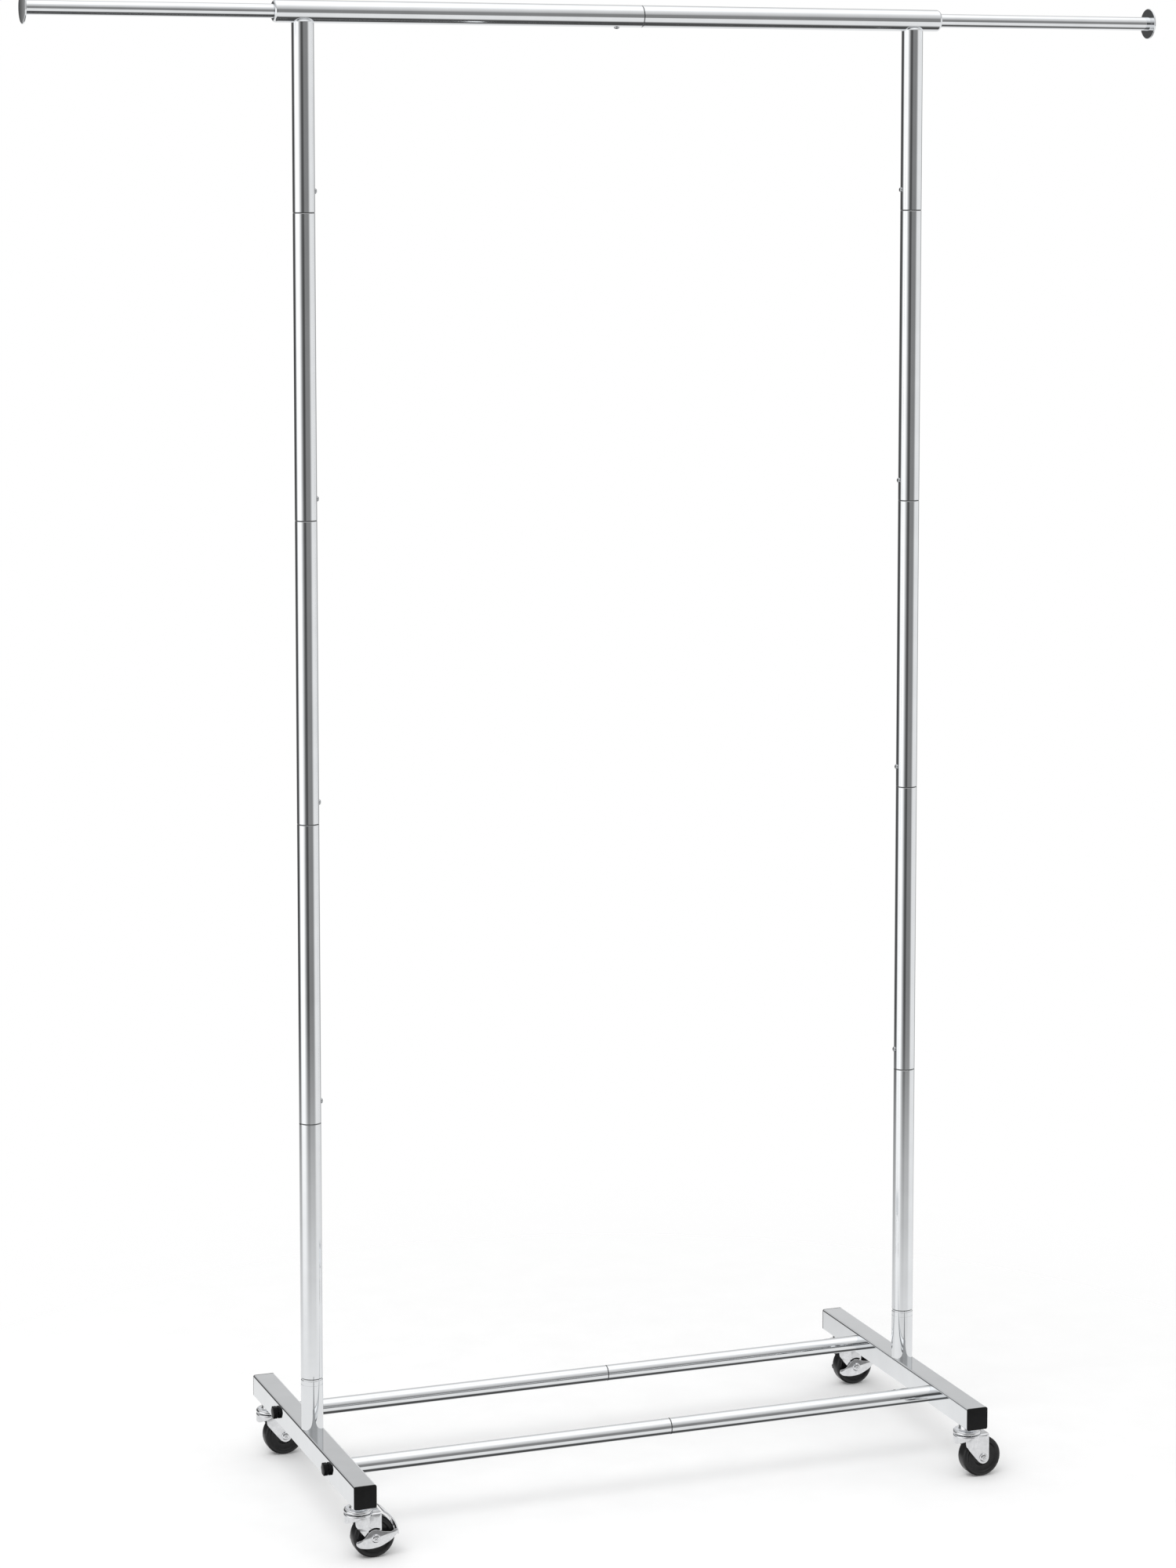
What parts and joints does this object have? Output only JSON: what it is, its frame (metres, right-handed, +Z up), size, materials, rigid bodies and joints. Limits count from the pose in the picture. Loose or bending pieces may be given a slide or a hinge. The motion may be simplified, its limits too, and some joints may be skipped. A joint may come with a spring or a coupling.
{
  "type": "rolling clothes rack",
  "caption": "Chromed rolling garment rack: sectional posts on square feet, a hanging rail with pull-out end rods, lower shoe-shelf rails and small swivel casters, some with brakes.",
  "frame": {"origin": "on the floor, under the middle of the rack", "axes": "+X along the hanging rail, +Y to the back, +Z up"},
  "size_m": [1.378, 0.415, 1.7242],
  "materials": {
    "chrome": "bright chromium plate on steel tube",
    "caster_zinc": "bright zinc plate on pressed steel",
    "wheel_plastic": "moulded, satin black",
    "cap_plastic": "moulded, fine matt black",
    "black_steel": "black oxide",
    "button_steel": "bright nickel plate",
    "spring_steel": "blued spring steel",
    "plain_steel": "plain machined steel",
    "bushing_steel": "drawn steel tube",
    "nylon": "natural moulded nylon"
  },
  "bodies": {
    "root": {"left_foot_tube": "chrome", "left_post_socket": "chrome", "left_post_section_1": "chrome", "left_post_section_2": "chrome", "left_post_section_3": "chrome", "left_post_section_4": "chrome", "left_post_section_5": "chrome", "right_foot_tube": "chrome", "right_post_socket": "chrome", "right_post_section_1": "chrome", "right_post_section_2": "chrome", "right_post_section_3": "chrome", "right_post_section_4": "chrome", "right_post_section_5": "chrome", "foot_end_caps": "cap_plastic", "front_shelf_rail_left_half": "chrome", "front_shelf_rail_right_half": "chrome", "rear_shelf_rail_left_half": "chrome", "rear_shelf_rail_right_half": "chrome", "shelf_rail_bolts": "black_steel", "shelf_rail_nut_inserts": "plain_steel", "top_rail_left_half": "chrome", "top_rail_right_half": "chrome", "snap_springs": "spring_steel", "caster_stems": "caster_zinc", "caster_weld_nuts": "plain_steel", "caster_bearing_balls": "plain_steel"},
    "front_left_caster": {"front_left_caster_fork": "caster_zinc", "front_left_axle": "caster_zinc"},
    "front_left_wheel_body": {"front_left_wheel": "wheel_plastic", "front_left_wheel_bushing": "bushing_steel"},
    "front_left_brake": {"front_left_brake_lever": "caster_zinc"},
    "front_right_caster": {"front_right_caster_fork": "caster_zinc", "front_right_axle": "caster_zinc"},
    "front_right_wheel_body": {"front_right_wheel": "wheel_plastic", "front_right_wheel_bushing": "bushing_steel"},
    "rear_left_caster": {"rear_left_caster_fork": "caster_zinc", "rear_left_axle": "caster_zinc"},
    "rear_left_wheel_body": {"rear_left_wheel": "wheel_plastic", "rear_left_wheel_bushing": "bushing_steel"},
    "rear_right_caster": {"rear_right_caster_fork": "caster_zinc", "rear_right_axle": "caster_zinc"},
    "rear_right_wheel_body": {"rear_right_wheel": "wheel_plastic", "rear_right_wheel_bushing": "bushing_steel"},
    "rear_right_brake": {"rear_right_brake_lever": "caster_zinc"},
    "left_rod": {"left_extension_rod": "chrome", "left_end_disc": "chrome", "left_rod_glides": "nylon"},
    "left_button_1": {"left_snap_button_1": "button_steel"},
    "left_button_2": {"left_snap_button_2": "button_steel"},
    "left_button_3": {"left_snap_button_3": "button_steel"},
    "left_button_4": {"left_snap_button_4": "button_steel"},
    "right_rod": {"right_extension_rod": "chrome", "right_end_disc": "chrome", "right_rod_glides": "nylon"},
    "right_button_1": {"right_snap_button_1": "button_steel"},
    "right_button_2": {"right_snap_button_2": "button_steel"},
    "right_button_3": {"right_snap_button_3": "button_steel"},
    "right_button_4": {"right_snap_button_4": "button_steel"},
    "rail_button": {"rail_snap_button": "button_steel"}
  },
  "joints": [
    {"name": "front_left_swivel", "type": "hinge", "parent": "root", "child": "front_left_caster", "pos_m": [-0.3735, -0.18, 0.052], "axis": [0, 0, 1], "continuous": true},
    {"name": "front_left_wheel_spin", "type": "hinge", "parent": "front_left_caster", "child": "front_left_wheel_body", "pos_m": [-0.3575, -0.18, 0.024], "axis": [0, 1, 0], "continuous": true},
    {"name": "front_left_brake_press", "type": "hinge", "parent": "front_left_caster", "child": "front_left_brake", "pos_m": [-0.3575, -0.18, 0.024], "axis": [0, 1, 0], "range_deg": [0, 22]},
    {"name": "front_right_swivel", "type": "hinge", "parent": "root", "child": "front_right_caster", "pos_m": [0.3735, -0.18, 0.052], "axis": [0, 0, 1], "continuous": true},
    {"name": "front_right_wheel_spin", "type": "hinge", "parent": "front_right_caster", "child": "front_right_wheel_body", "pos_m": [0.3895, -0.18, 0.024], "axis": [0, 1, 0], "continuous": true},
    {"name": "rear_left_swivel", "type": "hinge", "parent": "root", "child": "rear_left_caster", "pos_m": [-0.3735, 0.18, 0.052], "axis": [0, 0, 1], "continuous": true},
    {"name": "rear_left_wheel_spin", "type": "hinge", "parent": "rear_left_caster", "child": "rear_left_wheel_body", "pos_m": [-0.3575, 0.18, 0.024], "axis": [0, 1, 0], "continuous": true},
    {"name": "rear_right_swivel", "type": "hinge", "parent": "root", "child": "rear_right_caster", "pos_m": [0.3735, 0.18, 0.052], "axis": [0, 0, 1], "continuous": true},
    {"name": "rear_right_wheel_spin", "type": "hinge", "parent": "rear_right_caster", "child": "rear_right_wheel_body", "pos_m": [0.3895, 0.18, 0.024], "axis": [0, 1, 0], "continuous": true},
    {"name": "rear_right_brake_press", "type": "hinge", "parent": "rear_right_caster", "child": "rear_right_brake", "pos_m": [0.3895, 0.18, 0.024], "axis": [0, 1, 0], "range_deg": [0, 22]},
    {"name": "left_rod_pull", "type": "slide", "parent": "root", "child": "left_rod", "axis": [-1, 0, 0], "range_m": [-0.278, 0]},
    {"name": "left_button_1_press", "type": "slide", "parent": "root", "child": "left_button_1", "axis": [1, 0, 0], "range_m": [-0.004, 0], "stiffness_N_per_m": 800, "springref_m": 0.002},
    {"name": "left_button_2_press", "type": "slide", "parent": "root", "child": "left_button_2", "axis": [1, 0, 0], "range_m": [-0.004, 0], "stiffness_N_per_m": 800, "springref_m": 0.002},
    {"name": "left_button_3_press", "type": "slide", "parent": "root", "child": "left_button_3", "axis": [1, 0, 0], "range_m": [-0.004, 0], "stiffness_N_per_m": 800, "springref_m": 0.002},
    {"name": "left_button_4_press", "type": "slide", "parent": "root", "child": "left_button_4", "axis": [1, 0, 0], "range_m": [-0.004, 0], "stiffness_N_per_m": 800, "springref_m": 0.002},
    {"name": "right_rod_pull", "type": "slide", "parent": "root", "child": "right_rod", "axis": [1, 0, 0], "range_m": [-0.278, 0]},
    {"name": "right_button_1_press", "type": "slide", "parent": "root", "child": "right_button_1", "axis": [-1, 0, 0], "range_m": [-0.004, 0], "stiffness_N_per_m": 800, "springref_m": 0.002},
    {"name": "right_button_2_press", "type": "slide", "parent": "root", "child": "right_button_2", "axis": [-1, 0, 0], "range_m": [-0.004, 0], "stiffness_N_per_m": 800, "springref_m": 0.002},
    {"name": "right_button_3_press", "type": "slide", "parent": "root", "child": "right_button_3", "axis": [-1, 0, 0], "range_m": [-0.004, 0], "stiffness_N_per_m": 800, "springref_m": 0.002},
    {"name": "right_button_4_press", "type": "slide", "parent": "root", "child": "right_button_4", "axis": [-1, 0, 0], "range_m": [-0.004, 0], "stiffness_N_per_m": 800, "springref_m": 0.002},
    {"name": "rail_button_press", "type": "slide", "parent": "root", "child": "rail_button", "axis": [0, 0, -1], "range_m": [-0.004, 0], "stiffness_N_per_m": 800, "springref_m": 0.002}
  ]
}
